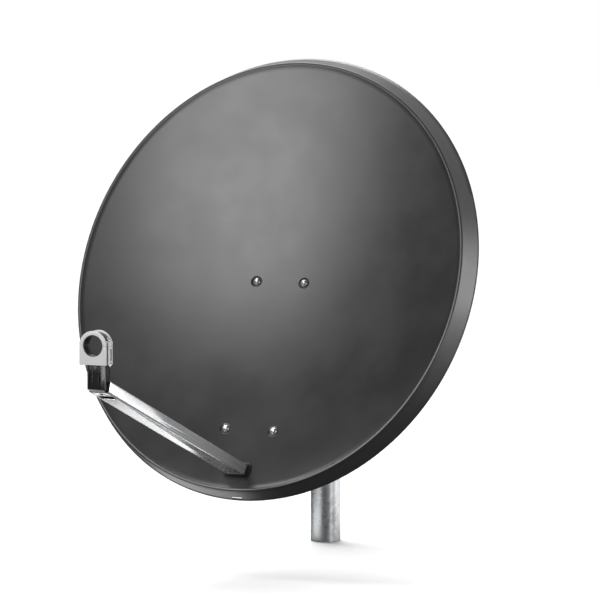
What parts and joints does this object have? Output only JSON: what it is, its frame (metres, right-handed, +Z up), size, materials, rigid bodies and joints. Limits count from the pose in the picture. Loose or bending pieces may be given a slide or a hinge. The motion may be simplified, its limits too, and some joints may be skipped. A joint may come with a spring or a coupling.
{
  "type": "satellite dish",
  "caption": "Offset satellite dish on a mast stub: elliptical reflector, rectangular feed arm with an empty receiver clamp, and a rear mount with elevation and azimuth adjustment.",
  "frame": {"origin": "on the mast's axis at its lower end", "axes": "+Z up along the mast, the dish looks along -Y, +X to the right seen from the front"},
  "size_m": [0.837, 1.0498, 0.9699],
  "materials": {
    "anthracite_paint": "smooth satin powder coat, dark anthracite",
    "zinc_plate": "bright zinc plating",
    "galvanised_steel": "galvanised, light spangle",
    "arm_aluminium": "bright anodised extrusion",
    "black_plastic": "gloss black moulding",
    "clamp_grey": "fine-textured light grey moulding"
  },
  "bodies": {
    "mast": {"mast_tube": "galvanised_steel", "mast_cap": "black_plastic"},
    "mast_bracket": {"mast_bracket": "galvanised_steel", "front_jaw": "galvanised_steel", "pivot_bolt": "zinc_plate", "pivot_nut": "zinc_plate", "jaw_bolt_1": "zinc_plate", "jaw_bolt_2": "zinc_plate", "jaw_bolt_3": "zinc_plate", "jaw_bolt_4": "zinc_plate"},
    "rear_jaw": {"rear_jaw": "galvanised_steel", "jaw_nut_1": "zinc_plate", "jaw_nut_2": "zinc_plate", "jaw_nut_3": "zinc_plate", "jaw_nut_4": "zinc_plate"},
    "dish": {"reflector": "anthracite_paint", "feed_arm": "arm_aluminium", "arm_collar": "black_plastic", "holder_body": "black_plastic", "holder_screw": "zinc_plate", "clamp_base": "clamp_grey", "clamp_nut_left": "zinc_plate", "clamp_nut_right": "zinc_plate", "rear_frame": "galvanised_steel", "lock_bolt": "zinc_plate", "lock_nut": "zinc_plate", "lock_washer": "zinc_plate", "pivot_spacer": "zinc_plate", "lock_spacer": "zinc_plate", "arm_bolt_1": "zinc_plate", "arm_bolt_2": "zinc_plate", "arm_nut_1": "zinc_plate", "arm_nut_2": "zinc_plate", "reflector_bolt_1": "zinc_plate", "reflector_bolt_2": "zinc_plate", "reflector_bolt_3": "zinc_plate", "reflector_bolt_4": "zinc_plate", "reflector_nut_1": "zinc_plate", "reflector_nut_2": "zinc_plate", "reflector_nut_3": "zinc_plate", "reflector_nut_4": "zinc_plate"},
    "clamp_cap": {"clamp_cap": "clamp_grey", "clamp_screw_left": "zinc_plate", "clamp_screw_right": "zinc_plate"}
  },
  "joints": [
    {"name": "azimuth_swivel", "type": "hinge", "parent": "mast", "child": "mast_bracket", "pos_m": [0, 0, 0.465], "axis": [0, 0, 1], "continuous": true},
    {"name": "elevation_tilt", "type": "hinge", "parent": "mast_bracket", "child": "dish", "pos_m": [0, -0.12, 0.5], "axis": [-1, 0, 0], "range_deg": [-28, 17]},
    {"name": "rear_jaw_slide", "type": "slide", "parent": "mast_bracket", "child": "rear_jaw", "axis": [0, 1, 0], "range_m": [0, 0.012]},
    {"name": "clamp_cap_lift", "type": "slide", "parent": "dish", "child": "clamp_cap", "axis": [0, 0, 1], "range_m": [0, 0.003]}
  ]
}
